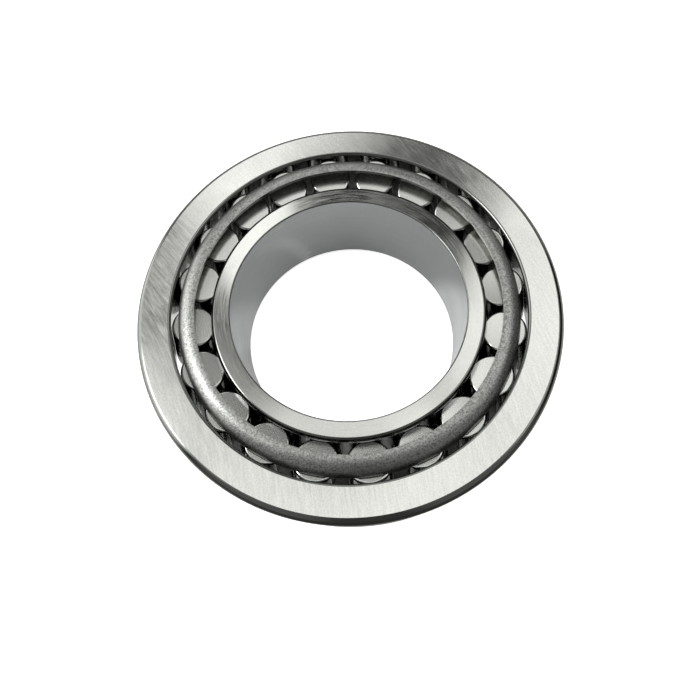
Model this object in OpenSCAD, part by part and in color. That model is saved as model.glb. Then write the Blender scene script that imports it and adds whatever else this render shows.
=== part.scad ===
// Tapered roller bearing: an outer ring, an inner ring with two ribs, a pressed cage and its rollers.
// It stands on the back face of the inner ring, with its axis along +Z and the small end up.
// Both raceways and every roller are cones that share one apex, high on the axis.

/* [Boundary sizes] */
// Diameter of the bore in the inner ring
bore_d = 90; // [80:1:96]
// Outside diameter of the outer ring
outside_d = 160; // [148:1:180]
// Height from the back face of the inner ring to the back face of the outer ring
total_w = 42.5; // [38:0.5:47]
// Width of the inner ring
inner_w = 40; // [36:0.5:44]
// Width of the outer ring
outer_w = 34; // [30:0.5:37]

/* [Raceways] */
// Half angle of the outer raceway, in degrees
cup_angle = 15.642; // [14:0.001:17]
// Thickness of the outer ring at its back face, out from the raceway's cone
outer_wall = 13.7; // [12:0.1:15.5]
// Thickness of the inner ring at the small end of its raceway
inner_wall = 6.1; // [5:0.1:7.5]
// Height of the small rib over the inner raceway
small_rib_h = 1.2; // [0.8:0.1:2]
// Width of the small rib, from the raceway's end to the front face
small_rib_w = 4.2; // [3.5:0.1:5.5]
// Height of the large rib over the inner raceway
large_rib_h = 5; // [3:0.5:6]
// Width of the large rib, from the back face to the raceway's end
large_rib_w = 7.4; // [6:0.1:9]

/* [Rollers] */
// Least space between neighbouring rollers, which sets how many there are
roller_space = 2; // [1.2:0.1:4]
// Size of the round on a roller's edges
roller_edge = 0.9; // [0.4:0.1:1.2]

/* [Cage] */
// Thickness of the cage sheet
cage_t = 2; // [1.2:0.1:2.4]
// How far the inside of the cage wall lies out from a roller's axis, as a share of the roller's radius
cage_lift = 0.46; // [0.35:0.005:0.55]
// How far the small end flange reaches in past a roller's axis, as a share of the roller's radius
flange_cover = 0.045; // [0:0.005:0.15]
// Size of the inside corner of the bend between wall and flange
cage_bend = 3.6; // [2:0.1:4.5]
// Width of the closed ring at the large end
large_ring_w = 3.2; // [2:0.2:4]
// Size of the round in the window corners
window_corner = 1.5; // [0.5:0.1:1.6]
// Size of the round on the cut edges of the sheet
sheet_edge = 0.35; // [0.1:0.05:0.5]

/* [Ring corners] */
// Size of the corner between the bore and the back face of the inner ring
bore_back_corner = 2.5; // [1:0.1:3]
// Size of the corner between the bore and the front face of the inner ring
bore_front_corner = 0.5; // [0.3:0.1:2]
// Size of the corner between the small rib and the front face of the inner ring
small_rib_corner = 1.5; // [0.4:0.1:2]
// Size of the corners on the outside of the large rib
large_rib_corner = 0.5; // [0.2:0.1:0.7]
// Size of the corner between the outside and the back face of the outer ring
outside_back_corner = 2.6; // [1:0.1:3.5]
// Size of the corner between the outside and the front face of the outer ring
outside_front_corner = 1; // [0.5:0.1:2]
// Size of the lip between the outer raceway and the back face
lip_corner = 1.3; // [0.5:0.1:2.2]
// Size of the corner between the outer raceway and the front face
mouth_corner = 0.6; // [0.3:0.1:1]
// Radius of the grinding reliefs at the feet of the ribs
relief_r = 0.7; // [0.4:0.1:0.9]

/* [Clearances] */
// Running gap between a roller and each raceway
raceway_gap = 0.1; // [0.06:0.01:0.15]
// Gap between a roller's large end and the large rib
large_rib_gap = 0.1; // [0.06:0.01:0.2]
// Gap between a roller's small end and the small rib
small_rib_gap = 0.4; // [0.2:0.1:0.6]
// Gap beside a roller in its cage window
window_side_gap = 0.2; // [0.15:0.05:0.3]
// Gap at each end of a roller in its cage window
window_end_gap = 0.7; // [0.3:0.1:1]
// Gap between the rollers' small ends and the cage flange
flange_gap = 4.8; // [4:0.1:6]

/* [Hidden] */
$fn = 120;
// How far a cutting shape runs past the surfaces that it cuts
cut = 1.5;
// Angle at which a corner's arc meets its two sides, and how far its sliver reaches past them
meet_angle = 10;
sliver_reach = 1.2;

bore_r = bore_d / 2;
outside_r = outside_d / 2;

// The outer raceway, and the apex that its cone shares with all the others
raceway_r = outside_r - outer_wall;
outer_front_z = total_w - outer_w;
mouth_r = raceway_r + outer_w * tan(cup_angle);
apex_z = total_w + raceway_r / tan(cup_angle);

// Half angle of the inner raceway, half angle of the cone that touches both raceways, and the lean of its axis
cone_angle = atan((bore_r + inner_wall) / (apex_z - inner_w + small_rib_w));
roller_angle = (cup_angle - cone_angle) / 2;
axis_angle = cup_angle - roller_angle;

// Distances along a roller's axis, measured down from the apex
small_rib_at = along_at(inner_w - small_rib_w);
large_rib_at = along_at(large_rib_w);
small_end = small_rib_at + small_rib_gap;
large_end = large_rib_at - large_rib_gap;
roller_l = large_end - small_end;
window_top = small_end - window_end_gap;
window_bottom = large_end + window_end_gap;
flange_under = small_end - flange_gap;
flange_top = flange_under - cage_t;
cage_bottom = window_bottom + large_ring_w;

// Radius of a roller at its small end, and as many rollers as fit around the inner ring
roller_r = cone_r(small_end) - raceway_gap;
roller_count = floor(180 / asin((roller_r + roller_space / 2) / (small_end * sin(axis_angle))));
roller_step = 360 / roller_count;

// Distances out from a roller's axis to both sides of the cage wall and to the edge of its flange
cage_offset = cage_lift * roller_r;
wall_out = cage_offset + cage_t;
flange_edge = -flange_cover * roller_r;

// The broad bend ends short of the flange's edge and of the windows
bend = min(cage_bend, 0.9 * (cage_offset - flange_edge), flange_gap - window_end_gap);

small_rib_r = on_inner_raceway(small_rib_at)[0] + small_rib_h;
large_rib_r = on_inner_raceway(large_rib_at)[0] + large_rib_h;

function roller_name(i) = str("roller_", i < 9 ? "0" : "", i + 1);

// Radius and height of a point, from its distance along a roller's axis and its distance out from that axis
function at(along, out) = [
    along * sin(axis_angle) + out * cos(axis_angle),
    apex_z - along * cos(axis_angle) + out * sin(axis_angle)
];

// Distance along a roller's axis to where it passes the inner raceway's point at a height
function along_at(z) = (apex_z - z) / cos(cone_angle) * cos(roller_angle);

// Radius of the cone that touches both raceways
function cone_r(along) = along * tan(roller_angle);

// Point of the inner raceway
function on_inner_raceway(along) = at(along, -cone_r(along));

// Point of a rib's face, which stands square to the roller's axis, at a radius from the bearing's axis
function on_rib_face(along, r) = at(along, (r - along * sin(axis_angle)) / cos(axis_angle));

// Height of the round cage wall over the roller's axis at the window's sides, and half the window's width there
function wall_at_side(along) = cage_offset - pow(cone_r(along), 2) / (2 * along * tan(axis_angle));
function window_half(along) = sqrt(pow(cone_r(along), 2) - pow(wall_at_side(along), 2)) + window_side_gap;

// Sliver between the corner at p, with neighbours a and b, and an arc that starts at a set distance from p.
// The arc meets both sides at a slight angle, as a ground or tumbled corner does.
module corner_sliver(p, a, b, size) {
    to_a = (a - p) / norm(a - p);
    to_b = (b - p) / norm(b - p);
    inward = (to_a + to_b) / norm(to_a + to_b);
    half = acos(to_a * to_b) / 2;
    arc_r = size * sin(half) / cos(half + meet_angle);
    centre = p + inward * (size * cos(half) + arc_r * sin(half + meet_angle));
    foot = size + arc_r * sin(meet_angle);
    difference() {
        polygon([
            p - inward * size,
            centre + (p + to_a * foot - centre) * sliver_reach,
            centre,
            centre + (p + to_b * foot - centre) * sliver_reach
        ]);
        translate(centre) circle(arc_r);
    }
}

// Outline with round corners: a size above 0 rounds a corner off, and one below 0 fills it in
module rounded(points, sizes) {
    n = len(points);
    difference() {
        union() {
            polygon(points);
            for (i = [0:n - 1])
                if (sizes[i] < 0)
                    corner_sliver(points[i], points[(i + n - 1) % n], points[(i + 1) % n], -sizes[i]);
        }
        for (i = [0:n - 1])
            if (sizes[i] > 0)
                corner_sliver(points[i], points[(i + n - 1) % n], points[(i + 1) % n], sizes[i]);
    }
}

// Outer ring: ground steel, with the conical raceway inside and the wide back face on top
module outer_ring() {
    outline = [
        [mouth_r, outer_front_z],
        [outside_r, outer_front_z],
        [outside_r, total_w],
        [raceway_r, total_w]
    ];
    sizes = [mouth_corner, outside_front_corner, outside_back_corner, lip_corner];
    color("#b9bdb4") rotate_extrude() rounded(outline, sizes);
}

// Inner ring: the bore, the raceway and a rib at each end of it, with a grinding relief at each rib's foot
module inner_ring() {
    outline = [
        [bore_r, 0],
        [large_rib_r, 0],
        on_rib_face(large_rib_at, large_rib_r),
        on_inner_raceway(large_rib_at),
        on_inner_raceway(small_rib_at),
        on_rib_face(small_rib_at, small_rib_r),
        [small_rib_r, inner_w],
        [bore_r, inner_w]
    ];
    sizes = [bore_back_corner, large_rib_corner, large_rib_corner, 0, 0, 0, small_rib_corner, bore_front_corner];
    color("#c6c9c2")
        rotate_extrude()
            difference() {
                rounded(outline, sizes);
                for (along = [small_rib_at, large_rib_at])
                    translate(on_inner_raceway(along)) circle(relief_r);
            }
}

// Cutter for one cage window, drawn square to the roller's axis: it widens with the roller
module window_cutter() {
    outline = [
        [window_top, -window_half(small_end)],
        [window_bottom, -window_half(large_end)],
        [window_bottom, window_half(large_end)],
        [window_top, window_half(small_end)]
    ];
    lowest = wall_at_side(large_end) - cut;
    translate([0, 0, apex_z])
        rotate([0, 90 - axis_angle, 0])
            translate([0, 0, lowest])
                linear_extrude(wall_out + cut - lowest)
                    rounded(outline, [for (p = outline) window_corner]);
}

// Cage: a cone pressed from sheet, with a window for each roller and a flange over their small ends
module cage() {
    outline = [
        at(cage_bottom, cage_offset),
        at(cage_bottom, wall_out),
        at(flange_top, wall_out),
        at(flange_top, flange_edge),
        at(flange_under, flange_edge),
        at(flange_under, cage_offset)
    ];
    sizes = [sheet_edge, sheet_edge, bend + cage_t, sheet_edge, sheet_edge, -bend];
    color("#8d8f8a")
        difference() {
            rotate_extrude() rounded(outline, sizes);
            for (i = [0:roller_count - 1])
                rotate(i * roller_step) window_cutter();
        }
}

// Roller number i: a cone frustum with rounded edges, clear of both raceways by the running gap
module roller(i) {
    outline = [
        [0, -roller_l],
        [cone_r(large_end) - raceway_gap, -roller_l],
        [roller_r, 0],
        [0, 0]
    ];
    centre = at(small_end, 0);
    color("#5b5e5c")
        rotate(i * roller_step)
            translate([centre[0], 0, centre[1]])
                rotate([0, -axis_angle, 0])
                    rotate_extrude() rounded(outline, [0, roller_edge, roller_edge, 0]);
}

outer_ring();
inner_ring();
cage();
for (i = [0:roller_count - 1])
    roller(i);
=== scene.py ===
"""Looks of a metric tapered roller bearing: ground rings, superfinished rollers and a pressed sheet cage.

It stands on the back face of its inner ring, with the axis along +Z and the rollers' small ends up.
Sizes are in millimetres here, and turned to metres where a mesh is made. The studio is in metres.
"""
import math

import bpy
from mathutils import Matrix, Vector


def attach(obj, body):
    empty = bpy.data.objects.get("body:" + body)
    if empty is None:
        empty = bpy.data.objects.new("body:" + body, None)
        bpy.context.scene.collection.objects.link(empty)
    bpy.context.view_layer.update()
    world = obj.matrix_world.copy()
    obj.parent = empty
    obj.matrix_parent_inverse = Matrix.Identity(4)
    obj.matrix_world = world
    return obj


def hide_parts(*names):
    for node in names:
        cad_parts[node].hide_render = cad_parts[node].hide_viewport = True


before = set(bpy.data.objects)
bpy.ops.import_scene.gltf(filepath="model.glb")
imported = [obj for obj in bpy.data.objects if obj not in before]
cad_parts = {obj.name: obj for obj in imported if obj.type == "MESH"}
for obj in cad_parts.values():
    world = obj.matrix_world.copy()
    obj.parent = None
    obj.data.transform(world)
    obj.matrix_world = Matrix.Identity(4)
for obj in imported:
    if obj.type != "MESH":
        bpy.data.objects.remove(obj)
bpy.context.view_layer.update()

# Inner ring: through-hardened bearing steel, turned, hardened and ground all over except its corners.
# The bore is the shaft's seat, and the raceway outside lies between a small and a large rib.
bore_r = 45
inner_w = 40
inner_wall = 6.1
small_rib_h = 1.2
small_rib_w = 4.2
large_rib_h = 5
large_rib_w = 7.4
bore_back_corner = 2.5
bore_front_corner = 0.5
small_rib_corner = 1.5
large_rib_corner = 0.5
relief_r = 0.7

# Both raceways and every roller are cones that share one apex, high on the axis.
cup_angle = math.radians(15.642)
cup_lip_r = 66.3
total_w = 42.5
apex_z = total_w + cup_lip_r / math.tan(cup_angle)
small_rib_foot = Vector((bore_r + inner_wall, inner_w - small_rib_w))
cone_angle = math.atan(small_rib_foot.x / (apex_z - small_rib_foot.y))
roller_angle = (cup_angle - cone_angle) / 2
axis_angle = cup_angle - roller_angle


def at(along, out):
    """Radius and height of a point, from its distance down a roller's axis and its distance out from it."""
    return Vector((along * math.sin(axis_angle) + out * math.cos(axis_angle),
                   apex_z - along * math.cos(axis_angle) + out * math.sin(axis_angle)))


def along_at(z):
    """Distance down a roller's axis to the inner raceway's point at a height."""
    return (apex_z - z) / math.cos(cone_angle) * math.cos(roller_angle)


def on_rib_face(along, r):
    """Point of a rib's face, square to the roller's axis, at a radius."""
    return at(along, (r - along * math.sin(axis_angle)) / math.cos(axis_angle))


# Angle at which a corner's arc meets its two sides, as a tumbled corner does
meet_angle = math.radians(10)


def section(corners):
    """Outline of a turned piece: (radius, height, finish of the strip that follows) for each point.

    A corner is (place, size, finish of its own, finish of the side after it). A size above 0 rounds the
    corner, and a size below 0 cuts a round grinding relief into it.
    """
    arc_steps = 20
    points = []
    for i, (p, size, own, after) in enumerate(corners):
        to_a = (corners[i - 1][0] - p).normalized()
        to_b = (corners[(i + 1) % len(corners)][0] - p).normalized()
        if size == 0:
            points.append((p.x, p.y, after))
            continue
        if size > 0:
            half = to_a.angle(to_b) / 2
            arc_r = size * math.sin(half) / math.cos(half + meet_angle)
            depth = size * math.cos(half) + arc_r * math.sin(half + meet_angle)
            centre = p + (to_a + to_b).normalized() * depth
        else:
            arc_r = -size
            centre = p
        start = p + to_a * abs(size) - centre
        end = p + to_b * abs(size) - centre
        first = math.atan2(start.y, start.x)
        sweep = (math.atan2(end.y, end.x) - first) % (2 * math.pi)
        if size < 0:
            sweep -= 2 * math.pi
        for k in range(arc_steps + 1):
            turn = first + sweep * k / arc_steps
            points.append((centre.x + arc_r * math.cos(turn), centre.y + arc_r * math.sin(turn),
                           own if k < arc_steps else after))
    return points


def turned(name, outline, finishes, steps):
    """Mesh of an outline turned about the Z axis, with one material slot for each finish.

    A point on the axis becomes one shared pole, and there are no faces between two poles.
    """
    sharp_from = math.radians(7)
    points = []
    rows = []
    for r, z, _ in outline:
        first = len(points)
        if r == 0:
            rows.append([first] * steps)
            points.append((0, 0, z / 1000))
            continue
        rows.append(list(range(first, first + steps)))
        for step in range(steps):
            turn = 2 * math.pi * step / steps
            points.append((r * math.cos(turn) / 1000, r * math.sin(turn) / 1000, z / 1000))
    faces = []
    slots = []
    for i, row in enumerate(rows):
        after = rows[(i + 1) % len(rows)]
        if row[0] == row[1] and after[0] == after[1]:
            continue
        for step in range(steps):
            beside = (step + 1) % steps
            corners = (row[step], row[beside], after[beside], after[step])
            faces.append(tuple(dict.fromkeys(corners)))
            slots.append(finishes.index(outline[i][2]))
    mesh = bpy.data.meshes.new(name)
    mesh.from_pydata(points, [], faces)
    mesh.polygons.foreach_set("material_index", slots)
    mesh.polygons.foreach_set("use_smooth", [True] * len(faces))
    mesh.set_sharp_from_angle(angle=sharp_from)
    return mesh


def linear(hex_colour, factor=1):
    """Linear colour, with alpha, of an sRGB hex value, made lighter or darker by a factor."""
    parts = [int(hex_colour[i:i + 2], 16) / 255 for i in (1, 3, 5)]
    return [factor * (c / 12.92 if c <= 0.04045 else ((c + 0.055) / 1.055) ** 2.4) for c in parts] + [1]


def add(tree, kind, inputs, **settings):
    """Add a node with its settings; an input is linked where its value is a socket, and set otherwise."""
    node = tree.nodes.new(kind)
    for name, value in settings.items():
        setattr(node, name, value)
    for key, value in inputs.items():
        if isinstance(value, bpy.types.NodeSocket):
            tree.links.new(value, node.inputs[key])
        else:
            node.inputs[key].default_value = value
    return node.outputs


def new_metal(name):
    """Material of bare metal: itself, its node tree and its shader."""
    material = bpy.data.materials.new(name)
    material.use_nodes = True
    shader = material.node_tree.nodes["Principled BSDF"]
    shader.inputs["Metallic"].default_value = 1
    return material, material.node_tree, shader


def bearing_steel(name, colour, lines, line_w, line_l, depth, contrast, roughness, patchy, aniso=0):
    """Bearing steel finished with an abrasive: lines of a width, length and depth, and soft uneven patches.

    lines is "across" for the long arcs that a face grinding wheel leaves, "around" for lines that run round
    the axis at each height, and "rings" for lines round the axis on a flat face. Real lines are a few
    hundredths of a millimetre wide and too fine to show, so they are drawn about half a millimetre wide.
    """
    wheel_hub = (-220, -75, 0)
    patch_w = 17
    fleck_w = 0.6
    fleck_share = 0.4
    line_rough = 0.06
    material, tree, shader = new_metal(name)
    place = add(tree, "ShaderNodeTexCoord", {})["Object"]
    mm = add(tree, "ShaderNodeVectorMath", {0: place, "Scale": 1000}, operation="SCALE")["Vector"]
    flat = add(tree, "ShaderNodeVectorMath", {0: mm, 1: (1, 1, 0)}, operation="MULTIPLY")["Vector"]
    hub = wheel_hub if lines == "across" else (0, 0, 0)
    from_hub = add(tree, "ShaderNodeVectorMath", {0: flat, 1: hub}, operation="SUBTRACT")["Vector"]
    if lines == "around":
        level = add(tree, "ShaderNodeSeparateXYZ", {0: mm})["Z"]
    else:
        level = add(tree, "ShaderNodeVectorMath", {0: from_hub}, operation="LENGTH")["Value"]
    across_line = add(tree, "ShaderNodeMath", {0: level, 1: line_w}, operation="DIVIDE")[0]
    along_line = add(tree, "ShaderNodeVectorMath", {0: flat, "Scale": 1 / line_l}, operation="SCALE")[0]
    along_part = add(tree, "ShaderNodeSeparateXYZ", {0: along_line})
    grain_place = add(tree, "ShaderNodeCombineXYZ", {
        "X": along_part["X"], "Y": along_part["Y"], "Z": across_line})[0]
    grain = add(tree, "ShaderNodeTexNoise", {
        "Vector": grain_place, "Scale": 1, "Detail": 4, "Roughness": 0.7})["Fac"]
    patch = add(tree, "ShaderNodeTexNoise", {
        "Vector": mm, "Scale": 1 / patch_w, "Detail": 2, "Roughness": 0.5})["Fac"]
    fleck = add(tree, "ShaderNodeTexNoise", {
        "Vector": mm, "Scale": 1 / fleck_w, "Detail": 2, "Roughness": 0.6})["Fac"]
    rough_grain = add(tree, "ShaderNodeMapRange", {
        "Value": grain, "From Min": 0.25, "From Max": 0.75,
        "To Min": -line_rough, "To Max": line_rough})["Result"]
    rough_patch = add(tree, "ShaderNodeMapRange", {
        "Value": patch, "From Min": 0.3, "From Max": 0.7,
        "To Min": roughness - patchy, "To Max": roughness + patchy})["Result"]
    rough = add(tree, "ShaderNodeMath", {0: rough_grain, 1: rough_patch}, operation="ADD", use_clamp=True)[0]
    mottle = add(tree, "ShaderNodeMix", {"Factor": fleck_share, "A": grain, "B": fleck})["Result"]
    shade = add(tree, "ShaderNodeMapRange", {"Value": mottle, "From Min": 0.34, "From Max": 0.66})["Result"]
    tint = add(tree, "ShaderNodeMix", {
        0: shade, 6: linear(colour, 1 - contrast), 7: linear(colour, 1 + contrast)}, data_type="RGBA")[2]
    bump = add(tree, "ShaderNodeBump", {"Height": grain, "Strength": 1, "Distance": depth / 1000})["Normal"]
    tree.links.new(tint, shader.inputs["Base Color"])
    tree.links.new(rough, shader.inputs["Roughness"])
    tree.links.new(bump, shader.inputs["Normal"])
    if aniso:
        # The grooves draw a highlight out across the lines.
        shader.inputs["Anisotropic"].default_value = aniso
        if lines == "around":
            quarter_turn = 0.25
            shader.inputs["Anisotropic Rotation"].default_value = quarter_turn
            tangent = add(tree, "ShaderNodeTangent", {}, direction_type="RADIAL", axis="Z")["Tangent"]
        else:
            tangent = add(tree, "ShaderNodeVectorTransform", {0: from_hub}, vector_type="VECTOR",
                          convert_from="OBJECT", convert_to="WORLD")["Vector"]
        tree.links.new(tangent, shader.inputs["Tangent"])
    return material


def assemble(name, mesh, materials, node):
    """A finished piece: its mesh in place, its materials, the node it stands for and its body."""
    piece = bpy.data.objects.new(name, mesh)
    bpy.context.scene.collection.objects.link(piece)
    for material in materials:
        mesh.materials.append(material)
    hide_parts(node)
    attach(piece, node)
    return piece


# Narrow face ground while the ring turns: satin, with faint rings of light and dark
ring_face_steel = bearing_steel(
    "ring_ground_bearing_steel", "#c4c5c0", lines="rings", line_w=0.5, line_l=9, depth=0.0005,
    contrast=0.09, roughness=0.13, patchy=0.03, aniso=0.5)
# Seats ground on the diameter: a bright satin band, drawn out up and down, with lines round the axis
seat_steel = bearing_steel(
    "seat_ground_bearing_steel", "#c2c4c4", lines="around", line_w=0.7, line_l=22, depth=0.0016,
    contrast=0.08, roughness=0.2, patchy=0.05, aniso=0.8)
# Honed raceways: nearly a mirror, a little darker than the seats, with hardly a line to see
raceway_steel = bearing_steel(
    "honed_raceway_steel", "#a0a29f", lines="around", line_w=0.4, line_l=40, depth=0.0002,
    contrast=0.03, roughness=0.1, patchy=0.02)
# Corners left as turned and hardened: glossy, and dark grey partly as turned steel and partly as painted
# shade, so that they outline the bright faces
corner_steel_and_painted_shade = bearing_steel(
    "turned_corner_steel", "#757773", lines="around", line_w=0.4, line_l=8, depth=0.0008,
    contrast=0.06, roughness=0.16, patchy=0.04)

small_rib_at = along_at(small_rib_foot.y)
large_rib_at = along_at(large_rib_w)
small_rib_r = small_rib_foot.x + small_rib_h
large_rib_foot = at(large_rib_at, -large_rib_at * math.tan(roller_angle))
large_rib_r = large_rib_foot.x + large_rib_h
ring_finishes = ["face", "seat", "raceway", "corner"]
inner_outline = section([
    (Vector((bore_r, 0)), bore_back_corner, "corner", "face"),
    (Vector((large_rib_r, 0)), large_rib_corner, "corner", "seat"),
    (on_rib_face(large_rib_at, large_rib_r), large_rib_corner, "corner", "raceway"),
    (large_rib_foot, -relief_r, "corner", "raceway"),
    (small_rib_foot, -relief_r, "corner", "raceway"),
    (on_rib_face(small_rib_at, small_rib_r), 0, "seat", "seat"),
    (Vector((small_rib_r, inner_w)), small_rib_corner, "corner", "face"),
    (Vector((bore_r, inner_w)), bore_front_corner, "corner", "seat"),
])
inner_mesh = turned("inner_ring_mesh", inner_outline, ring_finishes, steps=288)
assemble("inner_ring_turned", inner_mesh, [ring_face_steel, seat_steel, raceway_steel, corner_steel_and_painted_shade],
         "inner_ring")

# Rollers: twenty tapered rollers of bearing steel, superfinished on the side and ground on the ends.
# Each leans in its cage window, with its large end on the large rib and its round edges tumbled.
roller_count = 20
roller_edge = 0.9
raceway_gap = 0.1
small_rib_gap = 0.4
large_rib_gap = 0.1
small_end = small_rib_at + small_rib_gap
large_end = large_rib_at - large_rib_gap
roller_l = large_end - small_end
roller_small_r = small_end * math.tan(roller_angle) - raceway_gap
roller_large_r = large_end * math.tan(roller_angle) - raceway_gap

# The blank stands upright, with the middle of its small end at the origin.
roller_outline = section([
    (Vector((0, -roller_l)), 0, "end", "end"),
    (Vector((roller_large_r, -roller_l)), roller_edge, "side", "side"),
    (Vector((roller_small_r, 0)), roller_edge, "side", "end"),
    (Vector((0, 0)), 0, "end", "end"),
])
roller_finishes = ["side", "end"]
roller_blank = turned("roller_blank", roller_outline, roller_finishes, steps=96)
end_slot = roller_finishes.index("end")
end_mark = roller_blank.attributes.new("end_face", "BOOLEAN", "FACE")
end_mark.data.foreach_set("value", [face.material_index == end_slot for face in roller_blank.polygons])


def roller_steel(name, colour, roughness, grain_l, grain_w, depth):
    """Roller steel with a grain of a length round the roller's own axis and of a width along it.

    The real grain is about a hundredth of a millimetre wide, and is drawn coarser so that it shows.
    """
    grain_rough = 0.04
    darkest = 0.78
    palest = 1.14
    material, tree, shader = new_metal(name)
    blank = add(tree, "ShaderNodeAttribute", {}, attribute_name="on_blank")["Vector"]
    mm = add(tree, "ShaderNodeVectorMath", {0: blank, "Scale": 1000}, operation="SCALE")["Vector"]
    grain_size = (grain_l, grain_l, grain_w)
    grain_place = add(tree, "ShaderNodeVectorMath", {0: mm, 1: grain_size}, operation="DIVIDE")["Vector"]
    grain = add(tree, "ShaderNodeTexNoise", {
        "Vector": grain_place, "Scale": 1, "Detail": 3, "Roughness": 0.65})["Fac"]
    rough = add(tree, "ShaderNodeMapRange", {
        "Value": grain, "From Min": 0.25, "From Max": 0.75,
        "To Min": roughness - grain_rough, "To Max": roughness + grain_rough})["Result"]
    shade = add(tree, "ShaderNodeMapRange", {"Value": grain, "From Min": 0.3, "From Max": 0.7})["Result"]
    tint = add(tree, "ShaderNodeMix", {
        0: shade, 6: linear(colour, darkest), 7: linear(colour, palest)}, data_type="RGBA")[2]
    bump = add(tree, "ShaderNodeBump", {"Height": grain, "Strength": 1, "Distance": depth / 1000})["Normal"]
    tree.links.new(tint, shader.inputs["Base Color"])
    tree.links.new(rough, shader.inputs["Roughness"])
    tree.links.new(bump, shader.inputs["Normal"])
    return material


# Ground ends: satin grey with a fine even grit
roller_end_steel = roller_steel(
    "ground_roller_end_steel", "#c4c5c0", roughness=0.2, grain_l=0.45, grain_w=0.45, depth=0.0025)
# Superfinished sides and edges: nearly a mirror, with long faint lines round the roller
roller_side_steel = roller_steel(
    "superfinished_roller_steel", "#b6b8b3", roughness=0.1, grain_l=20, grain_w=0.25, depth=0.0002)


def new_tree(name, sockets):
    """Empty geometry tree with named inputs and one geometry output."""
    tree = bpy.data.node_groups.new(name, "GeometryNodeTree")
    for label, kind in sockets:
        tree.interface.new_socket(label, in_out="INPUT", socket_type=kind)
    tree.interface.new_socket("Geometry", in_out="OUTPUT", socket_type="NodeSocketGeometry")
    return tree


def grown(name, blank, tree, values, others):
    """Plain mesh that a tree, and the plain modifiers after it, make of a blank."""
    holder = bpy.data.objects.new("holder", blank)
    bpy.context.scene.collection.objects.link(holder)
    nodes = holder.modifiers.new("tree", "NODES")
    nodes.node_group = tree
    for item in tree.interface.items_tree:
        if item.in_out == "INPUT" and item.name in values:
            nodes[item.identifier] = values[item.name]
    for kind, settings in others:
        extra = holder.modifiers.new(kind.lower(), kind)
        for key, value in settings.items():
            setattr(extra, key, value)
    ready = holder.evaluated_get(bpy.context.evaluated_depsgraph_get())
    mesh = bpy.data.meshes.new_from_object(ready)
    mesh.name = name
    bpy.data.objects.remove(holder)
    return mesh


# The tree keeps each point's place on the blank for the grain, leans the blank out and swings it round.
roller_tree = new_tree("roller_in_its_window", [
    ("Geometry", "NodeSocketGeometry"), ("Turn", "NodeSocketFloat"), ("Lean", "NodeSocketFloat"),
    ("Radius", "NodeSocketFloat"), ("Height", "NodeSocketFloat"),
    ("Side Steel", "NodeSocketMaterial"), ("End Steel", "NodeSocketMaterial")])
given = add(roller_tree, "NodeGroupInput", {})
own_place = add(roller_tree, "GeometryNodeInputPosition", {})["Position"]
kept = add(roller_tree, "GeometryNodeStoreNamedAttribute", {
    "Geometry": given["Geometry"], "Name": "on_blank", "Value": own_place},
    data_type="FLOAT_VECTOR", domain="POINT")["Geometry"]
back = add(roller_tree, "ShaderNodeMath", {0: given["Lean"], 1: -1}, operation="MULTIPLY")[0]
lean = add(roller_tree, "ShaderNodeCombineXYZ", {"Y": back})[0]
seat = add(roller_tree, "ShaderNodeCombineXYZ", {"X": given["Radius"], "Z": given["Height"]})[0]
leaning = add(roller_tree, "GeometryNodeTransform", {
    "Geometry": kept, "Rotation": lean, "Translation": seat})["Geometry"]
swing = add(roller_tree, "ShaderNodeCombineXYZ", {"Z": given["Turn"]})[0]
placed = add(roller_tree, "GeometryNodeTransform", {"Geometry": leaning, "Rotation": swing})["Geometry"]
real = add(roller_tree, "GeometryNodeRealizeInstances", {"Geometry": placed})["Geometry"]
sides = add(roller_tree, "GeometryNodeSetMaterial", {
    "Geometry": real, "Material": given["Side Steel"]})["Geometry"]
is_end = add(roller_tree, "GeometryNodeInputNamedAttribute", {"Name": "end_face"},
             data_type="BOOLEAN")["Attribute"]
ends = add(roller_tree, "GeometryNodeSetMaterial", {
    "Geometry": sides, "Selection": is_end, "Material": given["End Steel"]})["Geometry"]
add(roller_tree, "NodeGroupOutput", {"Geometry": ends})

roller_seat = at(small_end, 0)
for i in range(roller_count):
    node = f"roller_{i + 1:02d}"
    roller_mesh = grown(f"{node}_mesh", roller_blank, roller_tree, {
        "Turn": 2 * math.pi * i / roller_count, "Lean": axis_angle,
        "Radius": roller_seat.x / 1000, "Height": roller_seat.y / 1000,
        "Side Steel": roller_side_steel, "End Steel": roller_end_steel}, [])
    assemble(f"{node}_superfinished", roller_mesh, [], node)

# Cage: one cup pressed from steel sheet, with a punched window for each roller, then tumbled and phosphated.
# Its inward flange lies over the rollers' small ends, and its bars hold the rollers on the inner ring.
cage_t = 2
cage_lift = 0.46
flange_cover = 0.045
cage_bend = 3.6
large_ring_w = 3.2
window_corner = 1.5
window_side_gap = 0.2
window_end_gap = 0.7
flange_gap = 4.8
sheet_edge = 0.5
# How far the sheet lies inside its construction size, so that its bevels and facets stay within it
skin = 0.02

# The sheet's outside, as distances down a roller's axis and out from it
cage_inside = cage_lift * roller_small_r
cage_outside = cage_inside + cage_t - skin
flange_edge = -flange_cover * roller_small_r
flange_top = small_end - flange_gap - cage_t + skin
window_top = small_end - window_end_gap
window_bottom = large_end + window_end_gap
cage_bottom = window_bottom + large_ring_w
bend_size = cage_bend + cage_t
bend_r = bend_size * math.sin(math.pi / 4) / math.cos(math.pi / 4 + meet_angle)
bend_in = bend_r * math.cos(meet_angle)

# The same outside as a flat strip: the flange, then the bend, then the wall
flange_l = cage_outside - bend_size - flange_edge
bend_l = bend_r * (math.pi / 2 - 2 * meet_angle)
wall_from = flange_l + bend_l
sheet_l = wall_from + cage_bottom - flange_top - bend_size
half_step = math.pi / roller_count


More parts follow.
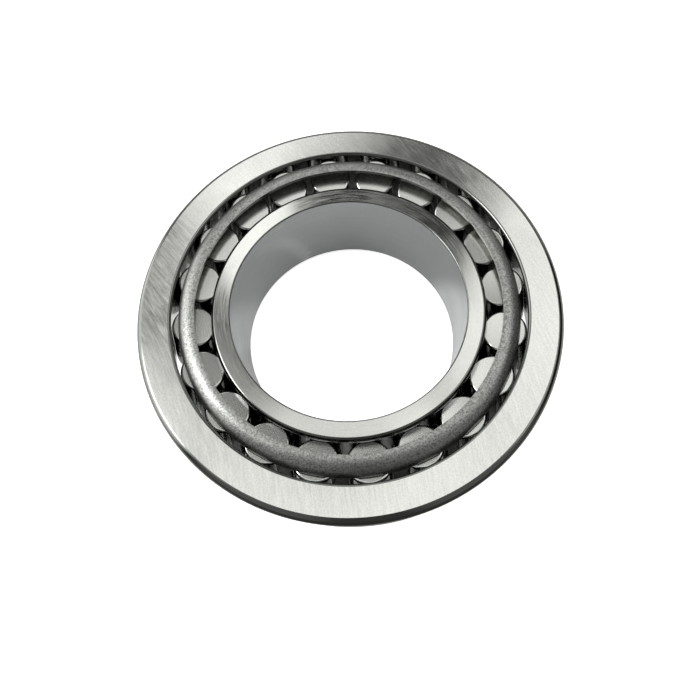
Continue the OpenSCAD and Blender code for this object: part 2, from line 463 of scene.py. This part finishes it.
def on_sheet(run, turn):
    """Point of the sheet's outside, from the run along its section from the flange's edge, and the turn."""
    if run < flange_l:
        p = at(flange_top, flange_edge + run)
    elif run < wall_from:
        a = meet_angle + (run - flange_l) / bend_r
        p = at(flange_top + bend_in - bend_r * math.cos(a), cage_outside - bend_in + bend_r * math.sin(a))
    else:
        p = at(flange_top + bend_size + run - wall_from, cage_outside)
    return (p.x * math.cos(turn) / 1000, p.x * math.sin(turn) / 1000, p.y / 1000)


def window_half(along):
    """Half the window's width at a distance down the roller's axis."""
    cone_r = along * math.tan(roller_angle)
    side = cage_inside - cone_r ** 2 / (2 * along * math.tan(axis_angle))
    return math.sqrt(cone_r ** 2 - side ** 2) + window_side_gap


def to_sheet(along, across):
    """Run and turn on the sheet of a point of the window, which is punched square to the roller's axis."""
    close_enough = 6
    out = cage_outside
    for _ in range(close_enough):
        reach = along * math.sin(axis_angle) + out * math.cos(axis_angle)
        r = math.hypot(reach, across)
        z = -along * math.cos(axis_angle) + out * math.sin(axis_angle)
        out -= r * math.cos(axis_angle) + z * math.sin(axis_angle) - cage_outside
    down = r * math.sin(axis_angle) - z * math.cos(axis_angle)
    return Vector((wall_from + down - flange_top - bend_size, math.atan2(across, reach)))


window_corners = [
    Vector((window_top, window_half(small_end))), Vector((window_bottom, window_half(large_end))),
    Vector((window_bottom, -window_half(large_end))), Vector((window_top, -window_half(small_end)))]


def corner_points(i, steps):
    """Arc of the window's corner number i, from the side before it to the side after it."""
    p = window_corners[i]
    to_a = (window_corners[i - 1] - p).normalized()
    to_b = (window_corners[(i + 1) % len(window_corners)] - p).normalized()
    half = to_a.angle(to_b) / 2
    r = window_corner * math.tan(half)
    centre = p + (to_a + to_b).normalized() * (window_corner / math.cos(half))
    start = p + to_a * window_corner - centre
    end = p + to_b * window_corner - centre
    first = math.atan2(start.y, start.x)
    sweep = (math.atan2(end.y, end.x) - first + math.pi) % (2 * math.pi) - math.pi
    turns = [first + sweep * k / steps for k in range(steps + 1)]
    return [centre + r * Vector((math.cos(turn), math.sin(turn))) for turn in turns]


def window_side(i, count):
    """Points from the middle of corner i to the middle of the next one, the last left out."""
    corner_steps = 8
    half = corner_steps // 2
    here = corner_points(i, corner_steps)[half:]
    there = corner_points((i + 1) % len(window_corners), corner_steps)[:half]
    straight = count - 2 * half
    run = [here[-1].lerp(there[0], k / straight) for k in range(1, straight)]
    return here + run + there


# One sector of the sheet: rings of faces from the window's edge out to a frame, with a plain strip above
# it that runs over the bend and the flange. The frame starts a good way round the bend.
across_count = 20
down_count = 24
flange_rows = 4
bend_rows = 10
bend_above_frame = 0.75
frame_top = flange_l + bend_above_frame * bend_l
frame_h = sheet_l - frame_top
window_loop = (window_side(0, down_count) + window_side(1, across_count)
               + window_side(2, down_count) + window_side(3, across_count))
frame_loop = []
for k in range(down_count):
    frame_loop.append(Vector((frame_top + frame_h * k / down_count, half_step)))
for k in range(across_count):
    frame_loop.append(Vector((sheet_l, half_step - 2 * half_step * k / across_count)))
for k in range(down_count):
    frame_loop.append(Vector((sheet_l - frame_h * k / down_count, -half_step)))
for k in range(across_count):
    frame_loop.append(Vector((frame_top, -half_step + 2 * half_step * k / across_count)))

sector_points = []
sector_faces = []
loop_count = len(window_loop)
ring_shares = [0, 0.35, 0.7, 1]
for share in ring_shares:
    for inner, outer in zip(window_loop, frame_loop):
        place = to_sheet(inner.x, inner.y).lerp(outer, share)
        sector_points.append(on_sheet(place.x, place.y))
for ring in range(len(ring_shares) - 1):
    for k in range(loop_count):
        here = ring * loop_count + k
        beside = ring * loop_count + (k + 1) % loop_count
        sector_faces.append((here, beside, beside + loop_count, here + loop_count))
strip_runs = [flange_l * k / flange_rows for k in range(flange_rows)]
strip_runs += [flange_l + (frame_top - flange_l) * k / bend_rows for k in range(bend_rows + 1)]
strip_first = len(sector_points)
for run in strip_runs:
    for k in range(across_count + 1):
        sector_points.append(on_sheet(run, -half_step + 2 * half_step * k / across_count))
for row in range(len(strip_runs) - 1):
    for k in range(across_count):
        here = strip_first + row * (across_count + 1) + k
        below = here + across_count + 1
        sector_faces.append((here, below, below + 1, here + 1))
sector_mesh = bpy.data.meshes.new("cage_sector")
sector_mesh.from_pydata(sector_points, [], sector_faces)
sector_mesh.polygons.foreach_set("use_smooth", [True] * len(sector_faces))

# Phosphated sheet: dull mid grey with a bright speckle and a soft highlight. The crystals are about
# 0.02 mm across, and are drawn coarser so that the speckle shows.
crystal_w = 0.65
crystal_h = 0.015
smear_w = 12
cage_sheet, tree, shader = new_metal("phosphated_steel_sheet")
place = add(tree, "ShaderNodeTexCoord", {})["Object"]
crystals = add(tree, "ShaderNodeTexNoise", {
    "Vector": place, "Scale": 1000 / crystal_w, "Detail": 3, "Roughness": 0.7})["Fac"]
smear = add(tree, "ShaderNodeTexNoise", {"Vector": place, "Scale": 1000 / smear_w, "Detail": 2})["Fac"]
speckle = add(tree, "ShaderNodeMapRange", {"Value": crystals, "From Min": 0.34, "From Max": 0.66})["Result"]
tone = add(tree, "ShaderNodeMix", {
    0: speckle, 6: linear("#686966"), 7: linear("#b0b1ad")}, data_type="RGBA")[2]
rough = add(tree, "ShaderNodeMapRange", {
    "Value": smear, "From Min": 0.3, "From Max": 0.7, "To Min": 0.35, "To Max": 0.45})["Result"]
bump = add(tree, "ShaderNodeBump", {
    "Height": crystals, "Strength": 1, "Distance": crystal_h / 1000})["Normal"]
tree.links.new(tone, shader.inputs["Base Color"])
tree.links.new(rough, shader.inputs["Roughness"])
tree.links.new(bump, shader.inputs["Normal"])
# Cut edges rubbed bare by tumbling: paler than the sheet, partly as bare steel and partly as a painted
# highlight along its rim and windows
edge_steel_and_painted_highlight = bearing_steel(
    "tumbled_sheet_edge_steel", "#c0c1bc", lines="around", line_w=0.5, line_l=2, depth=0.001,
    contrast=0.1, roughness=0.3, patchy=0.05)
sector_mesh.materials.append(cage_sheet)
sector_mesh.materials.append(edge_steel_and_painted_highlight)

# The tree sets one sector beside the next all round the axis and joins them.
join_gap = 0.01
cage_tree = new_tree("cage_from_one_window", [
    ("Geometry", "NodeSocketGeometry"), ("Windows", "NodeSocketInt"), ("Sheet", "NodeSocketMaterial")])
given = add(cage_tree, "NodeGroupInput", {})
spots = add(cage_tree, "GeometryNodePoints", {"Count": given["Windows"]})["Points"]
number = add(cage_tree, "GeometryNodeInputIndex", {})["Index"]
step = add(cage_tree, "ShaderNodeMath", {0: 2 * math.pi, 1: given["Windows"]}, operation="DIVIDE")[0]
turn = add(cage_tree, "ShaderNodeMath", {0: number, 1: step}, operation="MULTIPLY")[0]
facing = add(cage_tree, "ShaderNodeCombineXYZ", {"Z": turn})[0]
around = add(cage_tree, "GeometryNodeInstanceOnPoints", {
    "Points": spots, "Instance": given["Geometry"], "Rotation": facing})["Instances"]
real = add(cage_tree, "GeometryNodeRealizeInstances", {"Geometry": around})["Geometry"]
joined = add(cage_tree, "GeometryNodeMergeByDistance", {
    "Geometry": real, "Distance": join_gap / 1000})["Geometry"]
dressed = add(cage_tree, "GeometryNodeSetMaterial", {
    "Geometry": joined, "Material": given["Sheet"]})["Geometry"]
add(cage_tree, "NodeGroupOutput", {"Geometry": dressed})

# The sheet gets its thickness inwards, and its cut edges are rounded. The rounding leaves slivers where two
# edges all but meet, which are welded shut.
inwards = -1
round_from = math.radians(50)
round_steps = 3
sliver = 0.001
edge_material = 1
cage_mesh = grown("cage_mesh", sector_mesh, cage_tree, {"Windows": roller_count, "Sheet": cage_sheet}, [
    ("SOLIDIFY", {"thickness": cage_t / 1000, "offset": inwards, "use_even_offset": True,
                  "use_quality_normals": True}),
    ("BEVEL", {"width": sheet_edge / 1000, "segments": round_steps, "material": edge_material,
               "limit_method": "ANGLE", "angle_limit": round_from}),
    ("WELD", {"merge_threshold": sliver / 1000}),
])
assemble("cage_pressed", cage_mesh, [], "cage")

# Outer ring: bearing steel, turned, hardened and ground, which lies loose over the rollers.
# Its wide back face is on top and its raceway opens downwards.
outside_r = 80
outer_w = 34
outside_back_corner = 2.6
outside_front_corner = 1
lip_corner = 1.3
mouth_corner = 0.6

# Wide face ground by a wheel that sweeps across it: satin, with long pale and dark strokes in arcs
face_steel = bearing_steel(
    "face_ground_bearing_steel", "#c4c5c0", lines="across", line_w=0.8, line_l=9, depth=0.003,
    contrast=0.14, roughness=0.18, patchy=0.05, aniso=0.5)

mouth_r = cup_lip_r + outer_w * math.tan(cup_angle)
outer_outline = section([
    (Vector((mouth_r, total_w - outer_w)), mouth_corner, "corner", "face"),
    (Vector((outside_r, total_w - outer_w)), outside_front_corner, "corner", "seat"),
    (Vector((outside_r, total_w)), outside_back_corner, "corner", "face"),
    (Vector((cup_lip_r, total_w)), lip_corner, "corner", "raceway"),
])
outer_mesh = turned("outer_ring_mesh", outer_outline, ring_finishes, steps=360)
assemble("outer_ring_turned", outer_mesh, [face_steel, seat_steel, raceway_steel, corner_steel_and_painted_shade],
         "outer_ring")

# Studio: a plain pale floor and backdrop that only the camera sees, and two sheets of paper under the part
# that only the metal sees. Soft panels of light stand all round, and the camera has the photograph's angle.
floor_reach = 2
backdrop_reach = 1.9
bench_reach = 1.8
bench_z = -0.002
sheet_reach = 0.075
sheet_z = -0.001


def disc(name, reach, z):
    """Round flat mesh at a height."""
    steps = 64
    turns = [2 * math.pi * k / steps for k in range(steps)]
    mesh = bpy.data.meshes.new(name)
    mesh.from_pydata([(reach * math.cos(turn), reach * math.sin(turn), z) for turn in turns], [],
                     [tuple(range(steps))])
    return mesh


def paper(name, colour, glow):
    """Matt paper that glows a little, a painted light that keeps it pale where the part shades it."""
    material = bpy.data.materials.new(name)
    material.use_nodes = True
    shader = material.node_tree.nodes["Principled BSDF"]
    shader.inputs["Base Color"].default_value = linear(colour)
    shader.inputs["Roughness"].default_value = 0.9
    shader.inputs["Emission Color"].default_value = linear(colour)
    shader.inputs["Emission Strength"].default_value = glow
    return material


def set_out(name, mesh, material, for_camera):
    """Put a piece of the studio in place, there either for the camera alone or for the metal alone."""
    piece = bpy.data.objects.new(name, mesh)
    bpy.context.scene.collection.objects.link(piece)
    mesh.materials.append(material)
    piece.visible_camera = for_camera
    piece.visible_diffuse = not for_camera
    piece.visible_glossy = not for_camera
    piece.visible_shadow = not for_camera


# The floor glows inside the bore and round the part; under the part its glow is left out, a painted shade.
# Each edge of the shade has its start and end, as distances from the axis, and the glow before and after it.
floor_glow = 0.86
painted_shade_edges = [(0.046, 0.050, floor_glow, 0), (0.070, 0.080, 0, floor_glow)]
floor_paper = paper("pale_paper_floor", "#fafaf9", floor_glow)
tree = floor_paper.node_tree
place = add(tree, "ShaderNodeTexCoord", {})["Object"]
from_axis = add(tree, "ShaderNodeVectorMath", {0: place}, operation="LENGTH")["Value"]
glows = [add(tree, "ShaderNodeMapRange", {
    "Value": from_axis, "From Min": start, "From Max": end, "To Min": before, "To Max": after},
    interpolation_type="SMOOTHSTEP")["Result"] for start, end, before, after in painted_shade_edges]
glow = add(tree, "ShaderNodeMath", {0: glows[0], 1: glows[1]}, operation="ADD")[0]
tree.links.new(glow, tree.nodes["Principled BSDF"].inputs["Emission Strength"])
set_out("floor", disc("floor_mesh", floor_reach, 0), floor_paper, for_camera=True)

# The backdrop is a dome over the floor's edge, of the same pale paper.
dome_steps = 48
dome_rows = 12
dome_points = []
dome_faces = []
for row in range(dome_rows + 1):
    rise = math.pi / 2 * row / dome_rows
    out = backdrop_reach * math.cos(rise)
    for step in range(dome_steps):
        turn = 2 * math.pi * step / dome_steps
        dome_points.append((out * math.cos(turn), out * math.sin(turn), backdrop_reach * math.sin(rise)))
for row in range(dome_rows):
    for step in range(dome_steps):
        here = row * dome_steps + step
        beside = row * dome_steps + (step + 1) % dome_steps
        dome_faces.append((here, here + dome_steps, beside + dome_steps, beside))
dome_mesh = bpy.data.meshes.new("backdrop_mesh")
dome_mesh.from_pydata(dome_points, [], dome_faces)
backdrop_paper = paper("pale_paper_backdrop", "#fafaf9", glow=0.95)
set_out("backdrop", dome_mesh, backdrop_paper, for_camera=True)

# The bench is pale behind the part and falls off softly to dark grey in front of it, a painted shade that
# keeps the near corner of the outer ring dark. Its glow is painted light.
pale_to_y = -0.04
dark_from_y = -0.15
bench_paper_painted_light_and_shade = paper("bench_paper_painted_light_and_shade", "#e8e8e6", glow=0.2)
tree = bench_paper_painted_light_and_shade.node_tree
shader = tree.nodes["Principled BSDF"]
place = add(tree, "ShaderNodeTexCoord", {})["Object"]
y = add(tree, "ShaderNodeSeparateXYZ", {0: place})["Y"]
ahead = add(tree, "ShaderNodeMapRange", {"Value": y, "From Min": pale_to_y, "From Max": dark_from_y},
            interpolation_type="SMOOTHSTEP")["Result"]
tone = add(tree, "ShaderNodeMix", {
    0: ahead, 6: linear("#e8e8e6"), 7: linear("#4a4a48")}, data_type="RGBA")[2]
tree.links.new(tone, shader.inputs["Base Color"])
tree.links.new(tone, shader.inputs["Emission Color"])
set_out("bench", disc("bench_mesh", bench_reach, bench_z), bench_paper_painted_light_and_shade, for_camera=False)

# The sheet lies under the bore, with painted light and shade in bands round it and a glow of painted light,
# which gives the bore its soft upright bands.
# Angles are in degrees from +X, and grow towards +Y.
painted_light_tones = [(-180, "#e6e6e6"), (20, "#efefef"), (34, "#bcbcbc"), (75, "#d2d2d2"), (104, "#dadada"),
              (109, "#f4f4f4"), (116, "#d4d4d4"), (140, "#d8d8d8"), (160, "#ffffff"), (172, "#ffffff"),
              (180, "#e6e6e6")]
sheet_paper_painted_light = paper("sheet_paper_painted_light", "#e6e6e6", glow=0.14)
tree = sheet_paper_painted_light.node_tree
shader = tree.nodes["Principled BSDF"]
place = add(tree, "ShaderNodeTexCoord", {})["Object"]
part = add(tree, "ShaderNodeSeparateXYZ", {0: place})
turn = add(tree, "ShaderNodeMath", {0: part["Y"], 1: part["X"]}, operation="ARCTAN2")[0]
share = add(tree, "ShaderNodeMapRange", {
    "Value": turn, "From Min": -math.pi, "From Max": math.pi})["Result"]
bands = add(tree, "ShaderNodeValToRGB", {"Fac": share})["Color"]
ramp = bands.node.color_ramp
ramp.interpolation = "EASE"
for angle, grey in painted_light_tones[1:-1]:
    ramp.elements.new(0.5 + angle / 360).color = linear(grey)
ramp.elements[0].color = linear(painted_light_tones[0][1])
ramp.elements[len(painted_light_tones) - 1].color = linear(painted_light_tones[-1][1])
tree.links.new(bands, shader.inputs["Base Color"])
tree.links.new(bands, shader.inputs["Emission Color"])
set_out("sheet", disc("sheet_mesh", sheet_reach, sheet_z), sheet_paper_painted_light, for_camera=False)

# Soft panels of light: first and last azimuth, lowest and highest elevation, radiance and half the width of
# the soft edge. Angles are in degrees, azimuth 0 is +Y, away from the camera, and it grows towards +X.
dark_room = 0.03
panels = [
    # Right and left window, each with the glow beside it
    (29, 115, 35, 72, 1.5, 3),
    (9, 29, 30, 54, 0.15, 2),
    (-115, -46, 48, 72, 1.3, 6),
    (-46, -31, 62, 72, 0.5, 3),
    (-46, -24, 30, 60, 0.3, 4),
    # Low window on the left, for the highlight along the cage's bend
    (-104, -44, 0, 46, 2.5, 5),
    # Ceiling, with a dimmer part, and its end above the camera
    (-115, 115, 73, 95, 1.45, 4),
    (-60, 20, 76, 86, -0.35, 4),
    (115, 200, 81, 95, 1.45, 3),
    (-200, -115, 81, 95, 1.45, 3),
    # Bright strips straight ahead, for the far side of the two faces and the near roller ends
    (-24, -6, 30, 66, 1.75, 1.5),
    (-6, 14, 59, 68, 1.5, 3),
    (-6, 9, 25, 50.5, 1.4, 1.5),
    # Low strip ahead, for the bright line on the far corners
    (-60, 60, 6, 22, 0.8, 4),
    # Dim light on both sides of the camera and behind it
    (112, 160, 2, 81, 0.32, 8),
    (-160, -112, 2, 81, 0.32, 8),
    (160, 200, 2, 81, 0.12, 8),
    (-200, -160, 2, 81, 0.12, 8),
]
world = bpy.data.worlds.new("studio")
world.use_nodes = True
bpy.context.scene.world = world
tree = world.node_tree
way = add(tree, "ShaderNodeTexCoord", {})["Generated"]
way_part = add(tree, "ShaderNodeSeparateXYZ", {0: way})
azimuth = add(tree, "ShaderNodeMath", {0: way_part["X"], 1: way_part["Y"]}, operation="ARCTAN2")[0]
elevation = add(tree, "ShaderNodeMath", {0: way_part["Z"]}, operation="ARCSINE")[0]
light = dark_room
for first_azimuth, last_azimuth, lowest, highest, radiance, soft in panels:
    lit = radiance
    for angle, first, last in ((azimuth, first_azimuth, last_azimuth), (elevation, lowest, highest)):
        for edge, side in ((first, -1), (last, 1)):
            lit = add(tree, "ShaderNodeMapRange", {
                "Value": angle, "From Min": math.radians(edge + side * soft),
                "From Max": math.radians(edge - side * soft), "To Min": 0, "To Max": lit},
                interpolation_type="SMOOTHSTEP")["Result"]
    light = add(tree, "ShaderNodeMath", {0: light, 1: lit}, operation="ADD")[0]
tree.links.new(light, tree.nodes["Background"].inputs["Color"])

# One soft lamp stands on the left, in front of the low window.
key_data = bpy.data.lights.new("key_box", "AREA")
key_data.shape = "DISK"
key_data.size = 0.36
key_data.energy = 2.2
key = bpy.data.objects.new("key_box", key_data)
bpy.context.scene.collection.objects.link(key)
key.location = (-0.62, 0.05, 0.54)
key.rotation_mode = "QUATERNION"
key.rotation_quaternion = key.location.to_track_quat("Z", "Y")
key.visible_camera = False

# Camera fitted to the photograph: it circles the middle of the outer ring's back face at a distance, and is
# then turned a little on the spot. The focal length is in pixels of the photograph's width.
photo_w = 700
focal_length = 521
sensor_w = 36
camera_rise = math.radians(65.20)
camera_swing = math.radians(-2)
camera_distance = 0.1954
roll = math.radians(5.72)
yaw = math.radians(0.25)
pitch = math.radians(-5.46)

camera_data = bpy.data.cameras.new("camera")
camera_data.sensor_width = sensor_w
camera_data.lens = sensor_w * focal_length / photo_w
camera_data.clip_start = 0.01
camera = bpy.data.objects.new("camera", camera_data)
bpy.context.scene.collection.objects.link(camera)
bpy.context.scene.camera = camera
forward = Vector((0, math.cos(camera_rise), -math.sin(camera_rise)))
right = Vector((1, 0, 0))
level_view = Matrix((right, right.cross(forward), forward))
on_the_spot = Matrix.Rotation(roll, 3, "Z") @ Matrix.Rotation(pitch, 3, "X") @ Matrix.Rotation(yaw, 3, "Y")
view = on_the_spot @ level_view
pose = Matrix((view[0], view[1], -view[2])).transposed().to_4x4()
pose.translation = Vector((0, 0, total_w / 1000)) - forward * camera_distance
camera.matrix_world = Matrix.Rotation(camera_swing, 4, "Z") @ pose
bpy.context.scene.view_settings.view_transform = "Standard"
